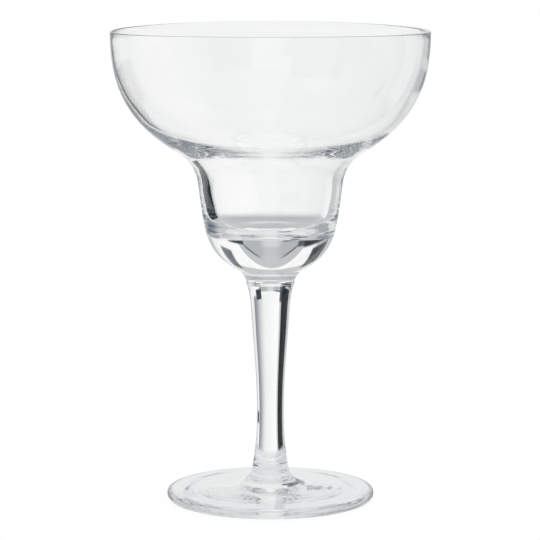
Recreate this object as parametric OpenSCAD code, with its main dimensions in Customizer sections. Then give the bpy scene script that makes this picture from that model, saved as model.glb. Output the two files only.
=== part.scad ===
// Margarita glass: a wide bowl that steps in to a narrow well, on a drawn stem and a round foot.
// The three pieces of glass meet face to face where the real ones are fused while hot.
// Millimetres, Z up, origin at the centre of the foot's underside.

/* [Foot] */
// Diameter of the foot
foot_d = 75.4; // [62:0.2:95]
// Height of the foot, from the table to its join with the stem
foot_h = 11.2; // [9:0.1:15]
// Thickness of the foot at its rounded edge
foot_edge = 3.75; // [3:0.05:5]
// Width of the rounding between the foot's upper face and its edge
edge_top_round = 0.9; // [0.5:0.1:2]
// Width of the rounding between the foot's edge and its resting ring
edge_low_round = 2.1; // [1:0.1:3]
// Height of the upper face where it meets the raised centre
crown_h = 5.8; // [5.2:0.1:7]
// Diameter of the raised centre where it runs out into the upper face
boss_d = 27; // [22:0.5:36]
// Width of the flat ring that the glass stands on
rest_w = 2.4; // [1.2:0.1:4]
// Width of the slope from the resting ring up to the hollow underside
dish_slope = 6; // [3:0.5:10]
// Depth of the hollow underside
dish_h = 1.1; // [0.4:0.1:2]

/* [Stem] */
// Length of the stem between its two joins
stem_l = 68.8; // [50:0.2:95]
// Diameter of the stem's lower join, on the foot
stem_low_d = 13.2; // [11:0.1:17]
// Diameter of the stem's waist
waist_d = 9.8; // [7:0.1:10.8]
// Height of the waist above the lower join
waist_h = 21.8; // [15:0.2:30]
// Diameter of the stem's neck, below the bowl
neck_d = 13.7; // [11:0.1:16]
// Distance of the neck below the upper join
neck_drop = 12.3; // [8:0.1:16]
// Diameter of the stem's upper join, under the bowl
stem_top_d = 17.6; // [16.2:0.1:20]

/* [Bowl outside] */
// Height of the bowl above its join with the stem
bowl_h = 91.4; // [80:0.2:110]
// Outer diameter of the bowl's wall at the rim
rim_d = 115; // [102:0.2:135]
// Outer diameter at the turn of the upper bowl
coupe_d = 95.2; // [86:0.2:104]
// Height of the turn of the upper bowl above the join
coupe_h = 58.5; // [54:0.2:64]
// Outer diameter of the shoulder, where the upper bowl flattens
shoulder_d = 66.8; // [62:0.2:74]
// Height of the shoulder above the join
shoulder_h = 47; // [45:0.2:50]
// Outer diameter of the throat, at the top of the well
throat_d = 52.4; // [48:0.2:56]
// Height of the throat above the join
throat_h = 36.2; // [32:0.2:38]
// Outer diameter of the well near its foot
well_d = 46.8; // [40:0.2:50]
// Height above the join at which that diameter is taken
well_h = 18.4; // [15:0.2:22]
// Outer diameter of the heel, under the well
heel_d = 25.2; // [21:0.2:30]
// Height of the heel above the join
heel_h = 4.7; // [3.6:0.1:7]

/* [Bowl inside] */
// Wall at the rim
rim_wall = 1.5; // [1:0.1:2.6]
// Radius of the rim's two fire-polished edges
lip_round = 0.35; // [0.2:0.05:0.45]
// Wall at the turn of the upper bowl
coupe_wall = 2.3; // [1.4:0.1:4]
// Wall at the shoulder
shoulder_wall = 3.2; // [2.4:0.1:5]
// How far the turn into the well lies inside the throat's outer wall
mouth_wall = 0.5; // [0.2:0.1:3]
// Height of that turn above the throat
mouth_rise = 8.1; // [6:0.1:9.4]
// How far the well's inner wall lies inside its outer wall's foot
well_wall = 2.55; // [1:0.05:4]
// Height above the well's floor at which that wall is taken
well_rise = 8.7; // [6:0.1:12]
// Solid glass between the join and the middle of the well's floor
floor_h = 19.9; // [14:0.1:21]
// Inner diameter where the well's wall turns in to its floor
corner_d = 32.8; // [26:0.2:36]
// Depth of that turn below the middle of the floor
corner_drop = 0.3; // [0.1:0.1:1.5]

/* [Fineness] */
// Straight steps in each curve
curve_steps = 10; // [6:1:16]
// Straight steps in each of the rim's two edges
lip_steps = 5; // [3:1:8]
// Sides of each turned piece
sides = 144; // [72:12:240]

/* [Hidden] */

clear_glass = [0.84, 0.9, 0.9];

// Reach of a curve's handles, as a share of the straight line between its ends
handle_share = 0.37;
// Height of the foot's widest line, as a share of its edge
edge_widest_share = 0.52;

// Leans are angles from straight down, and a positive one runs towards the axis
rim_lean = 0;
coupe_lean = 40.4;
shoulder_lean = 56.7;
throat_lean = 8.5;
well_lean = 13.9;
heel_lean = 60.9;
upper_join_lean = 20.4;
shoulder_inner_lean = 61.9;
mouth_lean = 36;
well_inner_lean = 12.2;
corner_lean = 57.7;
floor_lean = 90;
neck_lean = 3.6;
waist_lean = 0;
lower_join_lean = -9.9;
boss_lean = -16;
crown_lean = -84.8;
ring_lean = 90;

quarter_turn = 90;

foot_r = foot_d / 2;
rest_r = foot_r - edge_low_round;
lip_h = bowl_h - lip_round;
stem_foot_h = foot_h;
stem_top_h = foot_h + stem_l;

// A step along a lean
function heading(lean) = [-sin(lean), -cos(lean)];

// A knot is a point of an outline, with the lean that the outline has there
function knot(r, h, lean) = [[r, h], lean];

// The knot that lies one wall further in
function inset(k, wall) = [k[0] + wall * [-cos(k[1]), sin(k[1])], k[1]];

// Cubic curve from one knot to the next, without its last point
function curve(from, to) =
    let (reach = handle_share * norm(to[0] - from[0]))
    let (a = from[0] + reach * heading(from[1]))
    let (b = to[0] - reach * heading(to[1]))
    [for (i = [0 : curve_steps - 1])
        let (t = i / curve_steps, u = 1 - t)
        u * u * u * from[0] + 3 * u * u * t * a + 3 * u * t * t * b + t * t * t * to[0]];

// Smooth line through a list of knots, from the top down
function outline(knots) = [
    for (k = [0 : len(knots) - 2]) each curve(knots[k], knots[k + 1]),
    knots[len(knots) - 1][0]
];

function reversed(points) = [for (i = [len(points) - 1 : -1 : 0]) points[i]];

// A closed profile of radius and height, turned about the Z axis
module turned(points) {
    rotate_extrude($fn = sides)
        polygon(points);
}

// Bowl, one thick piece: upper bowl, shoulder, well and the solid lens of glass under it
module bowl() {
    rim = knot(rim_d / 2, lip_h, rim_lean);
    coupe = knot(coupe_d / 2, coupe_h, coupe_lean);
    shoulder = knot(shoulder_d / 2, shoulder_h, shoulder_lean);
    throat = knot(throat_d / 2, throat_h, throat_lean);
    well = knot(well_d / 2, well_h, well_lean);
    heel = knot(heel_d / 2, heel_h, heel_lean);
    join = knot(stem_top_d / 2, 0, upper_join_lean);

    mouth = knot(throat_d / 2 - mouth_wall, throat_h + mouth_rise, mouth_lean);
    well_inner = knot(well_d / 2 - well_wall, floor_h + well_rise, well_inner_lean);
    corner = knot(corner_d / 2, floor_h - corner_drop, corner_lean);
    floor_centre = knot(0, floor_h, floor_lean);

    outside = outline([rim, coupe, shoulder, throat, well, heel, join]);
    inside = outline([
        inset(rim, rim_wall),
        inset(coupe, coupe_wall),
        [inset(shoulder, shoulder_wall)[0], shoulder_inner_lean],
        mouth,
        well_inner,
        corner,
        floor_centre
    ]);

    // The rim's flat top between two rounded edges, from its inner wall to its outer one
    lip_inner = rim_d / 2 - rim_wall + lip_round;
    lip_outer = rim_d / 2 - lip_round;
    lip = [
        for (i = [1 : lip_steps])
            let (turn = i / lip_steps * quarter_turn)
            [lip_inner - lip_round * cos(turn), lip_h + lip_round * sin(turn)],
        for (i = [0 : lip_steps - 1])
            let (turn = i / lip_steps * quarter_turn)
            [lip_outer + lip_round * sin(turn), lip_h + lip_round * cos(turn)]
    ];

    color(clear_glass)
        translate([0, 0, stem_top_h])
            turned(concat(outside, [[0, 0]], reversed(inside), lip));
}

// Stem, a solid drawn rod that narrows to a waist and flares to both joins
module stem() {
    top = knot(stem_top_d / 2, stem_l, upper_join_lean);
    neck = knot(neck_d / 2, stem_l - neck_drop, neck_lean);
    waist = knot(waist_d / 2, waist_h, waist_lean);
    low = knot(stem_low_d / 2, 0, lower_join_lean);

    color(clear_glass)
        translate([0, 0, stem_foot_h])
            turned(concat([[0, stem_l]], outline([top, neck, waist, low]), [[0, 0]]));
}

// Foot, a pressed disc with a raised centre, a rounded edge and a hollow underside
module foot() {
    join = knot(stem_low_d / 2, foot_h, boss_lean);
    crown = knot(boss_d / 2, crown_h, crown_lean);
    edge_top = knot(foot_r - edge_top_round, foot_edge, crown_lean);
    edge_widest = knot(foot_r, foot_edge * edge_widest_share, 0);
    ring_outer = knot(rest_r, 0, ring_lean);
    ring_inner = knot(rest_r - rest_w, 0, ring_lean);
    dish = knot(rest_r - rest_w - dish_slope, dish_h, ring_lean);

    color(clear_glass)
        turned(concat(
            [[0, foot_h]],
            outline([join, crown]),
            outline([edge_top, edge_widest, ring_outer]),
            outline([ring_inner, dish]),
            [[0, dish_h]]
        ));
}

bowl();
stem();
foot();
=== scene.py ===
"""A clear margarita glass, standing on a plain white table. All lengths are in metres.

The glass has three pieces of glass that were joined while hot: the bowl, the stem and the foot.
"""

import math

import bpy
import numpy as np
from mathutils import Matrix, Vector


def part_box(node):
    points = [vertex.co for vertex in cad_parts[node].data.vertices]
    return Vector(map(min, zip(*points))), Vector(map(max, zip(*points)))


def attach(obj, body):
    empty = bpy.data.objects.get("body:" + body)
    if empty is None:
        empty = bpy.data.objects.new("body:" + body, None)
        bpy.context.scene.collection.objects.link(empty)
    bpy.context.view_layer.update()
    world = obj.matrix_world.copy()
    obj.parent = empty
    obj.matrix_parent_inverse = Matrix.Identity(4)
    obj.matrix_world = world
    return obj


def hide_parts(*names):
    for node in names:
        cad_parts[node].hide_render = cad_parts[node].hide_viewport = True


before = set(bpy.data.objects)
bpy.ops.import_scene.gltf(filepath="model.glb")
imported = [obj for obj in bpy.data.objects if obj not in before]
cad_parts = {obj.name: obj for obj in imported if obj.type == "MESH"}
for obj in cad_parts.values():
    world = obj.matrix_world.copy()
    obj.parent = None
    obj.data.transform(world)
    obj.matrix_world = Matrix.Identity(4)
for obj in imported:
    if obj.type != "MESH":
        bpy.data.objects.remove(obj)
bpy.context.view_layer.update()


# The bowl is one gather of clear soda glass. It was blown and pressed into a wide upper bowl that
# steps in to a narrow, thick-walled well, with a solid lens of glass left under the well's floor.
# Its rim was ground flat and polished in a flame, which rounded the two edges of the lip.

bowl_low, bowl_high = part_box("bowl")
join_h = bowl_low.z
rim_top = bowl_high.z
rim_r = bowl_high.x

rim_wall = 0.0015
lip_round = 0.00035
lip_steps = 7
coupe_wall = 0.0023
shoulder_wall = 0.0032

upper_join = (0.0088, join_h)
upper_join_lean = 20.4
join_groove = 0.00012
join_round = 0.0004
groove_lean = 60.0

# The made glass is a little uneven: its inside is off centre, and its rim is lower at two sides.
wall_drift = 0.00065
drift_rise = 0.022
rim_dip = 0.0008
dip_depth = 0.010

SIDES = 240
CURVE_STEPS = 14
HANDLE_SHARE = 0.37


def heading(lean):
    """Unit step down an outline: minus the sine and minus the cosine of its lean from straight down."""
    return np.array([-math.sin(math.radians(lean)), -math.cos(math.radians(lean))])


def inset(knot, wall):
    """The knot moved in by one wall, at right angles to the outline's own heading there."""
    radius, height, lean = knot
    inward = heading(lean)[::-1] * [1, -1]
    return radius + wall * inward[0], height + wall * inward[1], lean


def outline(knots):
    """Cubic curves through knots of radius, height and lean, each with handles of one share of its chord.

    A point is the sum of the two ends and the two handles, weighted by the powers of t and 1 - t.
    """
    points = []
    t = np.linspace(0, 1, CURVE_STEPS, endpoint=False)[:, None]
    for start, end in zip(knots[:-1], knots[1:]):
        a, d = np.array(start[:2]), np.array(end[:2])
        reach = HANDLE_SHARE * np.linalg.norm(d - a)
        b = a + reach * heading(start[2])
        c = d - reach * heading(end[2])
        points.append((1 - t) ** 3 * a + 3 * (1 - t) ** 2 * t * b + 3 * (1 - t) * t**2 * c + t**3 * d)
    return np.vstack(points + [np.array([knots[-1][:2]])])


def eased(share):
    """A share from zero to one with level ends: its square times three minus twice itself."""
    share = np.clip(share, 0, 1)
    return share**2 * (3 - 2 * share)


def groove_above(join, lean):
    """The last two knots above a join: the wall turns in to the groove, which lies in the join's own height."""
    radius, height = join
    return [(radius, height + join_round, lean), (radius - join_groove, height, groove_lean)]


def turned(name, profile, caps, drift=0.0, dip=0.0):
    """A closed surface of revolution: radius times the cosine and sine of the turn, at the profile's height.

    The profile runs from the axis round the section and back to the axis, with glass on its left as
    it goes up the inside, and its two end points become the poles. The spans of the profile named in
    caps, counted by their first point, take the second material and end in sharp edges. Each ring is
    moved along X by its drift, and lowered by its dip times the squared cosine of the turn.
    """
    radius, height = profile[1:-1, 0], profile[1:-1, 1]
    turn = np.linspace(0, 2 * np.pi, SIDES, endpoint=False)
    ring_x = radius[:, None] * np.cos(turn) + np.broadcast_to(drift, radius.shape)[:, None]
    ring_y = radius[:, None] * np.sin(turn)
    ring_z = height[:, None] - np.broadcast_to(dip, radius.shape)[:, None] * np.cos(turn) ** 2
    rings = np.stack([ring_x, ring_y, ring_z], axis=2).reshape(-1, 3)
    poles = np.array([[0, 0, profile[0, 1]], [0, 0, profile[-1, 1]]])
    vertices = np.vstack([rings, poles])

    count = len(radius)
    column = np.arange(SIDES)
    following = (column + 1) % SIDES
    row = np.arange(count - 1)[:, None] * SIDES
    quads = np.stack([row + column, row + SIDES + column, row + SIDES + following, row + following], axis=2)
    quads = quads.reshape(-1, 4)
    first, last = count * SIDES, count * SIDES + 1
    start_fan = np.stack([np.full(SIDES, first), column, following], axis=1)
    end_row = (count - 1) * SIDES
    end_fan = np.stack([np.full(SIDES, last), end_row + following, end_row + column], axis=1)

    mesh = bpy.data.meshes.new(name)
    mesh.from_pydata(vertices, [], quads.tolist() + start_fan.tolist() + end_fan.tolist())
    mesh.update()
    span = np.concatenate([
        np.repeat(np.arange(1, count), SIDES),
        np.full(SIDES, 0),
        np.full(SIDES, count),
    ])
    capped = np.isin(span, caps)
    mesh.polygons.foreach_set("material_index", capped.astype(np.int32))
    mesh.polygons.foreach_set("use_smooth", ~capped)
    ends = np.empty(len(mesh.edges) * 2, dtype=np.int32)
    mesh.edges.foreach_get("vertices", ends)
    ring = (ends // SIDES).reshape(-1, 2)
    cap_rings = [0 if cap == 0 else cap - 1 for cap in caps]
    sharp = (ring[:, 0] == ring[:, 1]) & np.isin(ring[:, 0], cap_rings)
    mesh.edges.foreach_set("use_edge_sharp", sharp)
    piece = bpy.data.objects.new(name, mesh)
    bpy.context.scene.collection.objects.link(piece)
    return piece


class Value:
    """A shader socket that takes part in Python sums, and makes the nodes that they need."""

    def __init__(self, tree, socket):
        self.tree = tree
        self.socket = socket

    def node(self, kind, settings=None, output=0, **sockets):
        """Any node: its type, its settings, which are set first, and the values or links of its sockets.

        A socket is named by its label, with underscores for spaces, or by an i and its number.
        """
        made = self.tree.nodes.new(kind)
        for key, value in (settings or {}).items():
            if key == "ramp":
                while len(made.color_ramp.elements) < len(value):
                    made.color_ramp.elements.new(0.5)
                for stop, (place, colour) in zip(made.color_ramp.elements, value):
                    stop.position, stop.color = place, colour
            else:
                setattr(made, key, value)
        for key, value in sockets.items():
            target = made.inputs[int(key[1:])] if key[1:].isdigit() else made.inputs[key.replace("_", " ")]
            if isinstance(value, Value):
                self.tree.links.new(value.socket, target)
            else:
                target.default_value = value
        return Value(self.tree, made.outputs[output])

    def math(self, operation, other=0.0):
        """One Math node on this value and one more."""
        return self.node("ShaderNodeMath", {"operation": operation}, i0=self, i1=other)

    def wrapped(self, high, low):
        """This value moved by whole spans until it lies between two values."""
        return self.node("ShaderNodeMath", {"operation": "WRAP"}, i0=self, i1=high, i2=low)

    def size(self):
        """This value without its sign."""
        return self.math("ABSOLUTE")

    def fade(self, low, high):
        """Zero below one value and one above the other, with a smooth rise between them."""
        return self.node(
            "ShaderNodeMapRange", {"interpolation_type": "SMOOTHSTEP"}, Value=self, From_Min=low, From_Max=high
        )

    def within(self, low, high, soft):
        """One between two values and zero outside them, with edges of a given softness."""
        return self.fade(low - soft, low + soft) * (1 - self.fade(high - soft, high + soft))

    def __add__(self, other):
        return self.math("ADD", other)

    def __sub__(self, other):
        return self.math("SUBTRACT", other)

    def __rsub__(self, other):
        return self.node("ShaderNodeMath", {"operation": "SUBTRACT"}, i0=other, i1=self)

    def __mul__(self, other):
        return self.math("MULTIPLY", other)

    __radd__ = __add__
    __rmul__ = __mul__


def new_material(name):
    """An empty material, with a Value to start its node sums from and its output node."""
    material = bpy.data.materials.new(name)
    material.use_nodes = True
    tree = material.node_tree
    tree.nodes.clear()
    output = tree.nodes.new("ShaderNodeOutputMaterial")
    return material, Value(tree, None), output


CLEAR = (1.0, 1.0, 1.0, 1.0)
GLASS_INDEX = 1.5
WAVE_HEIGHT = 0.00002
FINE_TIMES = 9
FINE_SHARE = 0.2


def clear_glass(name, wave_scale, roughness):
    """Clear glass: slow noise on Object coordinates bumps it with the waves of its forming.

    Its roughness is the one given, plus a share of it times a finer noise.
    """
    material, build, output = new_material(name)
    place = build.node("ShaderNodeTexCoord", output="Object")
    waves = build.node("ShaderNodeTexNoise", Vector=place, Scale=wave_scale, Detail=1.0)
    fine = build.node("ShaderNodeTexNoise", Vector=place, Scale=wave_scale * FINE_TIMES, Detail=2.0)
    bump = build.node("ShaderNodeBump", Height=waves, Strength=1.0, Distance=WAVE_HEIGHT)
    surface = build.node(
        "ShaderNodeBsdfPrincipled",
        Base_Color=CLEAR,
        Roughness=fine * (roughness * FINE_SHARE) + roughness,
        IOR=GLASS_INDEX,
        Normal=bump,
        Transmission_Weight=1.0,
    )
    build.tree.links.new(surface.socket, output.inputs["Surface"])
    return material


def fused_join(name):
    """The face where two pieces of glass run into each other: nothing is seen of it."""
    material, build, output = new_material(name)
    surface = build.node("ShaderNodeBsdfPrincipled", Base_Color=CLEAR, Alpha=0.0)
    build.tree.links.new(surface.socket, output.inputs["Surface"])
    return material


def finish_piece(piece, node, glass):
    """The piece takes its glass and its join face, rides with the body and stands for its CAD node."""
    piece.data.materials.append(glass)
    piece.data.materials.append(glass_join)
    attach(piece, "root")
    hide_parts(node)


# Each knot is a radius, a height and the outline's lean from straight down, in degrees.
rim = (rim_r, rim_top - lip_round, 0.0)
coupe = (0.0476, join_h + 0.0585, 40.4)
shoulder = (0.0334, join_h + 0.047, 56.7)
throat = (0.0262, join_h + 0.0362, 8.5)
well = (0.0234, join_h + 0.0184, 13.9)
heel = (0.0126, join_h + 0.0047, 60.9)

inner_shoulder = (*inset(shoulder, shoulder_wall)[:2], 61.9)
mouth = (0.0257, join_h + 0.0443, 36.0)
well_middle = (0.02085, join_h + 0.0286, 12.2)
well_corner = (0.0164, join_h + 0.0196, 57.7)
well_floor = (0.0, join_h + 0.0199, 90.0)

bowl_inside = outline([
    inset(rim, rim_wall), inset(coupe, coupe_wall), inner_shoulder, mouth, well_middle, well_corner, well_floor
])
bowl_outside = outline([rim, coupe, shoulder, throat, well, heel, *groove_above(upper_join, upper_join_lean)])
lip_turn = np.linspace(0, np.pi / 2, lip_steps)
lip_sine, lip_cosine = lip_round * np.sin(lip_turn), lip_round * np.cos(lip_turn)
lip_inner = np.stack([rim_r - rim_wall + lip_round - lip_cosine, rim[1] + lip_sine], axis=1)[1:]
lip_outer = np.stack([rim_r - lip_round + lip_sine, rim[1] + lip_cosine], axis=1)[:-1]
bowl_profile = np.vstack([bowl_inside[::-1], lip_inner, lip_outer, bowl_outside, [[0, join_h]]])

ring_height = bowl_profile[1:-1, 1]
inner_count = len(bowl_inside) + len(lip_inner) - 1
is_inside = np.arange(len(ring_height)) < inner_count
bowl_drift = np.where(is_inside, -wall_drift * eased((ring_height - shoulder[1]) / drift_rise), 0.0)
bowl_dip = rim_dip * eased(1 - (rim_top - ring_height) / dip_depth)

bowl_glass = clear_glass("bowl_glass", wave_scale=30.0, roughness=0.001)
glass_join = fused_join("glass_join")
bowl = turned("glass_bowl", bowl_profile, caps=[len(bowl_profile) - 2], drift=bowl_drift, dip=bowl_dip)
finish_piece(bowl, "bowl", bowl_glass)


# The stem is a solid rod of the same glass, drawn while soft so that it narrows to a waist. Both of
# its ends flare where it was pressed onto the hot bowl and the hot foot.

lower_join_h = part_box("stem")[0].z
lower_join = (0.0066, lower_join_h)
lower_join_lean = -9.9
neck = (0.00685, join_h - 0.0123, 3.6)
waist = (0.0049, lower_join_h + 0.0218, 0.0)


def groove_below(join, lean):
    """The first two knots below a join: the wall comes out of the groove to its own radius."""
    radius, height = join
    return [(radius - join_groove, height, -groove_lean), (radius, height - join_round, lean)]


stem_outside = outline([
    *groove_below(upper_join, upper_join_lean), neck, waist, *groove_above(lower_join, lower_join_lean)
])
stem_profile = np.vstack([[[0, join_h]], stem_outside, [[0, lower_join_h]]])
stem_glass = clear_glass("stem_glass", wave_scale=60.0, roughness=0.04)
stem = turned("glass_stem", stem_profile, caps=[0, len(stem_profile) - 2])
finish_piece(stem, "stem", stem_glass)


# The foot is a disc of the same glass, pressed while soft. Its centre is raised to meet the stem,
# its edge is rounded, and its underside is hollow inside the flat ring that it stands on.

foot_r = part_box("foot")[1].x
foot_edge = 0.00375
edge_round = 0.0009
edge_middle_share = 0.52
boss_lean = -16.0
slope_lean = -84.8
slope_steps = 90
rest_r = foot_r - 0.0021
rest_w = 0.0024
dish_slope = 0.006
dish_h = 0.0011
ripple_h = 0.00002
ripple_step = 0.0036

slope_top = np.array([0.0135, 0.0058])
slope_end = np.array([foot_r - edge_round, foot_edge])
foot_top = outline([*groove_below(lower_join, boss_lean), (*slope_top, slope_lean)])
along = np.linspace(0, 1, slope_steps)[1:-1, None]
foot_slope = slope_top + (slope_end - slope_top) * along
ripples = np.sin(2 * np.pi * (foot_slope[:, :1] - slope_top[0]) / ripple_step)
foot_slope[:, 1:] += ripple_h * ripples * np.sin(np.pi * along)
foot_rim = outline([
    (*slope_end, slope_lean), (foot_r, foot_edge * edge_middle_share, 0.0), (rest_r, 0.0, 90.0)
])
foot_dish = outline([
    (rest_r - rest_w, 0.0, 90.0), (rest_r - rest_w - dish_slope, dish_h, 90.0)
])
foot_profile = np.vstack([[[0, lower_join_h]], foot_top, foot_slope, foot_rim, foot_dish, [[0, dish_h]]])
foot_glass = clear_glass("foot_glass", wave_scale=40.0, roughness=0.04)
foot = turned("glass_foot", foot_profile, caps=[0])
finish_piece(foot, "foot", foot_glass)


# The table top is a plain pale board. The camera sees it as white with the faint shade of the glass on it: a glow
# for the camera over a paint that takes the shade. Rays that come out of the glass see only the part of it that
# lies under the foot. There it glows a darker grey, which is painted shade under the foot. A dark ring under the
# foot's edge, at its two sides along X, is a painted shadow.

FLOOR_HALF = 3.0
FLOOR_GAP = 0.0003
FLOOR_PAINT = (0.14, 0.14, 0.14, 1.0)
FLOOR_GLOW = (0.885, 0.885, 0.885, 1.0)
# Painted shade and shadow, seen only from the glass: the darker grey glow under the foot, and the near-black ring
# under the foot's edge.
UNDER_FOOT_SHADE = (0.66, 0.675, 0.69, 1.0)
EDGE_SHADOW = (0.045, 0.05, 0.06, 1.0)
seen_r, unseen_r = 0.046, 0.056
edge_ring_in, edge_ring_out, edge_ring_soft = 0.0405, 0.048, 0.0006
edge_side_in, edge_side_out = 0.018, 0.028


def mixed(build, share, colour, other):
    """One colour, and the other where the share is one."""
    return build.node("ShaderNodeMix", {"data_type": "RGBA"}, output=2, i0=share, i6=colour, i7=other)


floor_mesh = bpy.data.meshes.new("floor")
floor_signs = [(-1, -1), (1, -1), (1, 1), (-1, 1)]
floor_corners = [(x * FLOOR_HALF, y * FLOOR_HALF, -FLOOR_GAP) for x, y in floor_signs]
floor_mesh.from_pydata(floor_corners, [], [(0, 1, 2, 3)])
floor = bpy.data.objects.new("floor", floor_mesh)
bpy.context.scene.collection.objects.link(floor)
floor_paint, board, floor_output = new_material("floor_paint")
spot = board.node("ShaderNodeTexCoord", output="Object")
spot_x = board.node("ShaderNodeSeparateXYZ", Vector=spot, output="X")
spot_y = board.node("ShaderNodeSeparateXYZ", Vector=spot, output="Y")
away = (spot_x * spot_x + spot_y * spot_y).math("SQRT")
seen_first = board.node("ShaderNodeLightPath", output="Is Camera Ray")
under_glass = 1 - away.fade(seen_r, unseen_r)
# Mask of the painted shadow: the ring under the foot's edge, at its two sides along X.
edge_shadow_mask = away.within(edge_ring_in, edge_ring_out, edge_ring_soft) * spot_x.size().fade(edge_side_in, edge_side_out)
board_tone = mixed(board, seen_first, mixed(board, edge_shadow_mask, UNDER_FOOT_SHADE, EDGE_SHADOW), FLOOR_GLOW)
board_surface = board.node(
    "ShaderNodeBsdfPrincipled",
    Base_Color=FLOOR_PAINT,
    Roughness=1.0,
    Specular_IOR_Level=0.0,
    Emission_Color=board_tone,
    Emission_Strength=1.0,
    Alpha=seen_first.math("MAXIMUM", under_glass),
)
board.tree.links.new(board_surface.socket, floor_output.inputs["Surface"])
floor_mesh.materials.append(floor_paint)


# The studio is a white sweep with black and grey cards, which put the dark lines and the shades into
# the clear glass. It isn't one real room: each kind of ray, told apart by how often it crossed the
# glass and was turned back in it, sees cards of its own. The camera itself sees plain white.

# Tones are strengths. Turns and heights are in degrees, from straight behind the glass towards the
# right, and from level upwards.
BLACK = 0.006
DARK = 0.02
GREY = 0.58
PALE = 1.0

world = bpy.data.worlds.new("studio")
bpy.context.scene.world = world
world.use_nodes = True
world_tree = world.node_tree
world_tree.nodes.clear()
sky = Value(world_tree, None)
direction = sky.node("ShaderNodeTexCoord", output="Generated")
east = sky.node("ShaderNodeSeparateXYZ", Vector=direction, output="X")
north = sky.node("ShaderNodeSeparateXYZ", Vector=direction, output="Y")
up = sky.node("ShaderNodeSeparateXYZ", Vector=direction, output="Z")
to_degrees = 180.0 / math.pi
turn = east.math("ARCTAN2", north) * to_degrees
turn_size = turn.size()
around = turn.wrapped(90.0, -90.0)
behind = turn_size.math("GREATER_THAN", 90.0)
height = up.math("ARCSINE") * to_degrees

# The bowl is the smoothest of the three pieces, so only its rays count as singular ones.
is_camera = sky.node("ShaderNodeLightPath", output="Is Camera Ray")
from_bowl = sky.node("ShaderNodeLightPath", output="Is Singular Ray")
scattered = sky.node("ShaderNodeLightPath", output="Diffuse Depth")
bounced = sky.node("ShaderNodeLightPath", output="Glossy Depth")
crossed = sky.node("ShaderNodeLightPath", output="Transmission Depth")
turned_in_glass = bounced.fade(0.4, 0.6)
once = bounced.within(0.5, 3.5, 0.1)


def laid(under, tone, mask):
    """What lies beneath, with another tone laid over it where the mask is one."""
    return under + (tone - under) * mask


def card(under, tone, turns, heights, soft, side=around, only=None):
    """A card of one tone between two turns and two heights, with soft upright and soft level edges."""
    mask = side.within(*turns, soft[0]) * height.within(*heights, soft[1])
    return laid(under, tone, mask if only is None else mask * only)


# The room is mid grey, and a white sweep fills most of what lies behind the glass.
room = card(GREY, PALE, turns=(-19.0, 62.0), heights=(-30.0, 40.0), soft=(1.5, 2.5))
room = card(room, PALE, turns=(-37.0, 0.0), heights=(13.0, 40.0), soft=(1.5, 2.5))
room = laid(room, 0.57, around.within(-36.0, 32.0, 3.0) * height.fade(37.0, 41.0))
room = card(room, PALE, turns=(46.0, 68.0), heights=(40.0, 60.0), soft=(3.0, 3.0))

# What the solid stem and the lens under the well show: a shaded right side, a grey arch with a
# darker fold in it, and black cards.
low_right = around.within(-15.0, 43.0, 1.5) * (1 - height.fade(3.0, 8.0))
shade = around * -0.004 + 0.955
tone = laid(room, laid(shade, 0.35, around.fade(12.0, 38.0)), low_right)
bell = height + (around + 1.5) * (around + 1.5) * 0.043
arch = laid(0.68, 0.56, height.fade(11.5, 14.0))
tone = laid(tone, arch, (1 - bell.fade(35.0, 37.0)) * height.fade(7.5, 9.0))
from_middle = (around + 0.5).size()
fold = height + from_middle * 0.9
above_table = height.fade(8.0, 9.5)
tone = laid(tone, 0.47, (1 - fold.fade(28.0, 30.0)) * above_table * from_middle.fade(2.0, 8.0))
tone = laid(tone, 0.18, fold.within(28.2, 30.2, 0.7) * from_middle.within(8.0, 18.0, 2.5) * above_table)
tone = card(tone, 0.12, turns=(-24.0, -18.0), heights=(-1.0, 14.5), soft=(0.8, 0.8))
tone = card(tone, 0.10, turns=(-20.0, -8.0), heights=(8.3, 9.6), soft=(2.0, 0.4))
tone = card(tone, BLACK, turns=(-50.5, -23.0), heights=(-40.0, 16.0), soft=(0.8, 1.5))
tone = card(tone, BLACK, turns=(-60.0, -33.5), heights=(19.0, 46.0), soft=(1.5, 2.0))
tone = card(tone, 0.34 - height * 0.007, turns=(30.5, 44.5), heights=(20.0, 46.0), soft=(1.5, 1.5))
tone = card(tone, 0.04, turns=(17.5, 31.0), heights=(1.0, 12.8), soft=(0.8, 0.7))
tone = card(tone, 0.06, turns=(46.0, 66.0), heights=(-13.5, -11.0), soft=(2.0, 0.5))
tone = laid(tone, 0.60, 1 - height.fade(-34.0, -30.0))

# The far wall of the bowl, seen over its rim from any side, shows a pale table.
tone = laid(tone, 0.93, from_bowl * (1 - height.fade(-1.0, 1.0)))

# What the walls and the foot show, by light that was turned back inside the glass.
inner = laid(room, laid(shade, 0.62, around.fade(12.0, 30.0)), low_right)
inner = laid(inner, 0.86, (1 - turn_size.fade(58.0, 66.0)) * height.fade(6.0, 9.0))
inner = card(inner, 0.58, turns=(-18.0, 18.0), heights=(-7.0, 5.0), soft=(1.5, 0.8), only=once)
inner = card(inner, 0.70, turns=(-60.0, -24.5), heights=(-12.5, -4.0), soft=(1.5, 0.8), only=once)
inner = card(inner, DARK, turns=(-24.5, -13.0), heights=(-12.5, -4.0), soft=(0.8, 0.8), only=once)
inner = card(inner, DARK, turns=(-58.0, -17.5), heights=(-30.0, -12.5), soft=(0.8, 0.8), only=once)
inner = card(inner, 0.34, turns=(-60.0, -34.0), heights=(-3.0, 9.0), soft=(1.5, 1.0), only=once)
inner = card(inner, 0.35, turns=(40.0, 62.0), heights=(-3.0, 6.0), soft=(1.5, 1.0), only=once)
inner = card(inner, 0.15, turns=(-60.0, -28.0), heights=(9.0, 32.0), soft=(1.5, 1.5), only=once)
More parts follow.
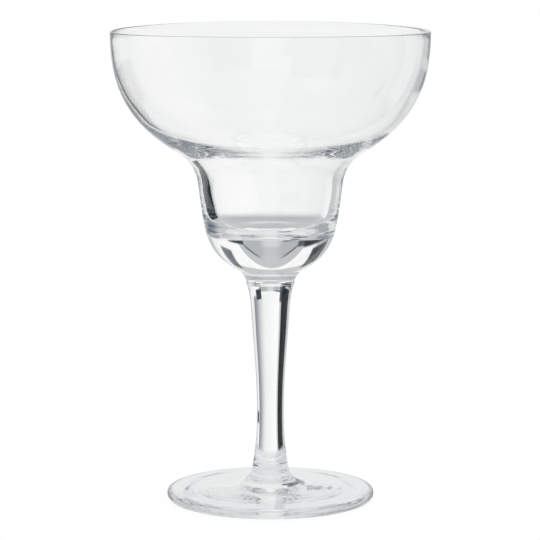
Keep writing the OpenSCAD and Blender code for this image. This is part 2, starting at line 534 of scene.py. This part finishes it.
inner = card(inner, 0.45, turns=(-40.0, -16.0), heights=(6.0, 13.5), soft=(1.0, 1.0), only=once)
inner = card(inner, 0.15, turns=(-36.0, -12.5), heights=(10.5, 25.0), soft=(1.0, 1.0), only=once)

# The camera's side of the room, which the walls show by light that was turned right round.
inner = card(inner, 0.80, turns=(10.0, 58.0), heights=(-5.0, 38.0), soft=(2.0, 3.0), only=behind)
inner = card(inner, 0.42, turns=(58.0, 95.0), heights=(-5.0, 38.0), soft=(2.0, 3.0), only=behind)
dusk = (around * -0.0139 - 0.556).math("MAXIMUM", 0.08)
inner = card(inner, dusk, turns=(-85.0, -12.0), heights=(-14.0, 38.0), soft=(3.0, 3.0), only=behind)
tone = laid(tone, inner, turned_in_glass)

# What is seen straight through both walls of the bowl: the sweep, and the grey table under it.
through = laid(0.945, 0.915, around.fade(2.0, 9.0) * (1 - around.fade(25.0, 40.0)))
through = laid(through, PALE, around.fade(-40.0, -25.0) * (1 - around.fade(-2.6, -1.0)))
through = laid(through, 0.46, (1 - height.fade(-34.0, -18.0)) * (1 - turned_in_glass))

# What the outside of the glass mirrors, at its first surface.
mirrored = laid(0.9, 0.6, turn_size.fade(9.0, 14.0))
mirrored = laid(mirrored, 0.22, turn_size.fade(46.0, 58.0))
mirrored = laid(mirrored, 0.05, turn.within(48.0, 115.0, 3.0))

# What is shown by light that was turned back many times: in the shoulder, the joins and the foot.
trapped = laid(0.13, 0.5, height.fade(25.0, 45.0))
trapped = card(trapped, 0.6, turns=(-80.0, -62.0), heights=(-4.0, 8.0), soft=(3.0, 1.0), side=turn)
trapped = laid(trapped, 0.1, bounced.fade(60.0, 62.0))
ahead = 1 - turn_size.fade(76.0, 84.0)

level = laid(tone, trapped, bounced.fade(6.4, 6.6))
level = laid(level, 0.82, ahead * (1 - height.fade(30.0, 36.0)) * bounced.within(3.5, 18.0, 0.1))
level = laid(level, 0.75, ahead * bounced.within(3.5, 11.5, 0.1) * (1 - height.fade(60.0, 66.0)))
few_turns = bounced.within(2.5, 5.5, 0.1)
level = card(level, 0.12, turns=(-34.0, -12.0), heights=(1.0, 24.0), soft=(1.5, 1.5), only=few_turns)
level = laid(level, through, crossed.fade(3.2, 3.4))
level = laid(level, mirrored, 1 - crossed.fade(0.2, 0.4))
level = laid(level, PALE, is_camera.math("MAXIMUM", scattered.fade(0.2, 0.4)))

# The darker a card, the more slate there is in it.
slate = sky.node("ShaderNodeValToRGB", {"ramp": [
    (0.0, (0.55, 0.80, 1.0, 1.0)),
    (0.12, (0.60, 0.82, 1.0, 1.0)),
    (0.45, (0.955, 0.98, 1.0, 1.0)),
    (0.9, (0.99, 1.0, 0.998, 1.0)),
    (1.0, (1.0, 1.0, 1.0, 1.0)),
]}, Fac=level)
background = sky.node("ShaderNodeBackground", Color=slate, Strength=level)
world_output = world_tree.nodes.new("ShaderNodeOutputWorld")
world_tree.links.new(background.socket, world_output.inputs["Surface"])


# Light turns many times in thick glass before it leaves it.

glass_bounces = 96
cycles = bpy.context.scene.cycles
cycles.max_bounces = glass_bounces
cycles.glossy_bounces = glass_bounces
cycles.transmission_bounces = 32


# The camera stands about a metre in front of the glass and looks slightly down on its rim.

IMAGE_PX = 540.0
FOCAL_PX = 2800.0
GLASS_OFFSET_PX = 0.4
SENSOR_MM = 36.0
camera_distance = 1.005
camera_height = 0.2225
camera_dip = 7.84

camera_data = bpy.data.cameras.new("camera")
camera_data.lens = SENSOR_MM * FOCAL_PX / IMAGE_PX
camera_data.sensor_width = SENSOR_MM
camera_data.clip_end = 20.0
camera = bpy.data.objects.new("camera", camera_data)
camera.location = (0.0, -camera_distance, camera_height)
camera.rotation_euler = (math.radians(90.0 - camera_dip), 0.0, GLASS_OFFSET_PX / FOCAL_PX)
bpy.context.scene.collection.objects.link(camera)
bpy.context.scene.camera = camera
bpy.context.scene.view_settings.view_transform = "Standard"
